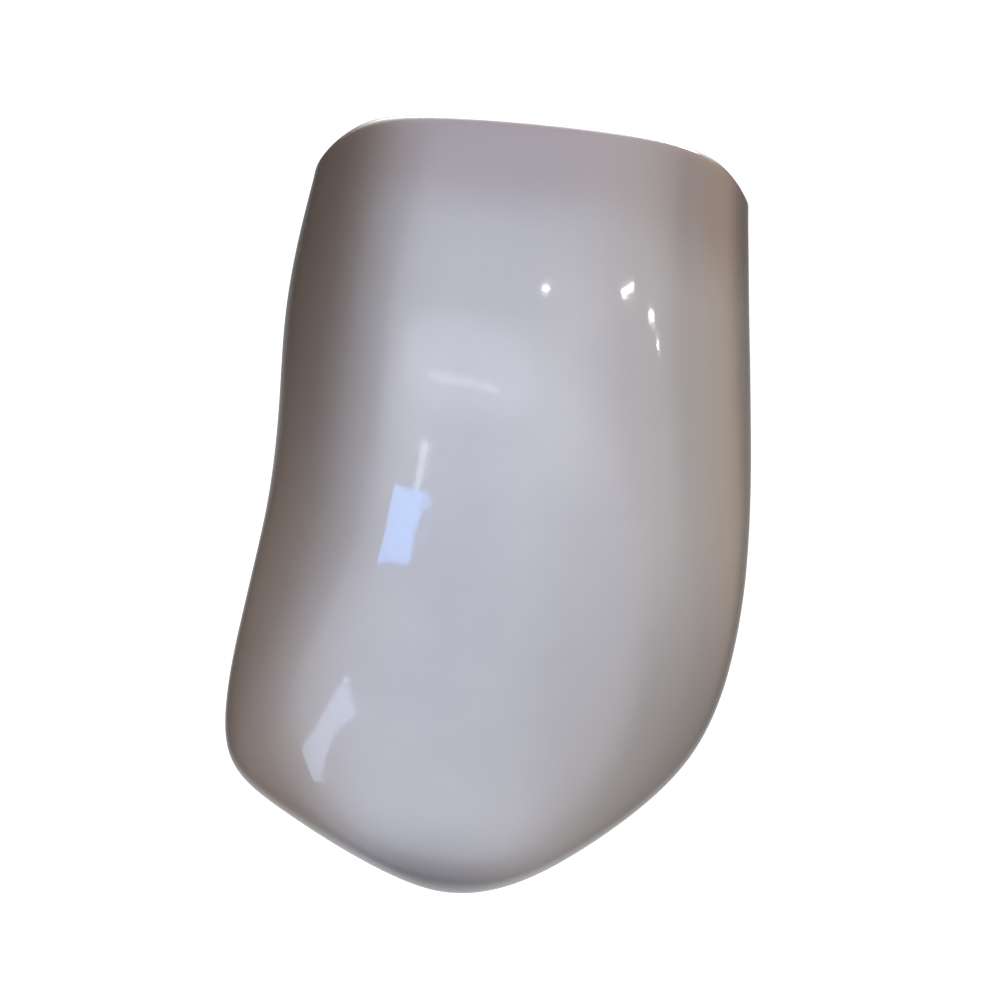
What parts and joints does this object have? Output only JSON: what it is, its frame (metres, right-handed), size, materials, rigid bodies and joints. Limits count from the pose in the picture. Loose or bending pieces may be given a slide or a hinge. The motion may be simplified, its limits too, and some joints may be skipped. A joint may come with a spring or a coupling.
{
  "type": "dental crown",
  "caption": "Glazed ceramic crown shaped as an upper left canine, open at the neck with a tapered cavity that seats on an abutment.",
  "frame": {"origin": "centre of the flat seat at the bottom of the cavity", "axes": "+Z along the path of insertion, from the seat out of the cavity's mouth; -Y towards the labial face, +X towards the distal side"},
  "size_m": [0.0075, 0.0081, 0.0116],
  "materials": {
    "glazed_ceramic": "smooth high-gloss glaze outside, matt inside the cavity"
  },
  "bodies": {
    "root": {"crown": "glazed_ceramic"}
  },
  "joints": []
}
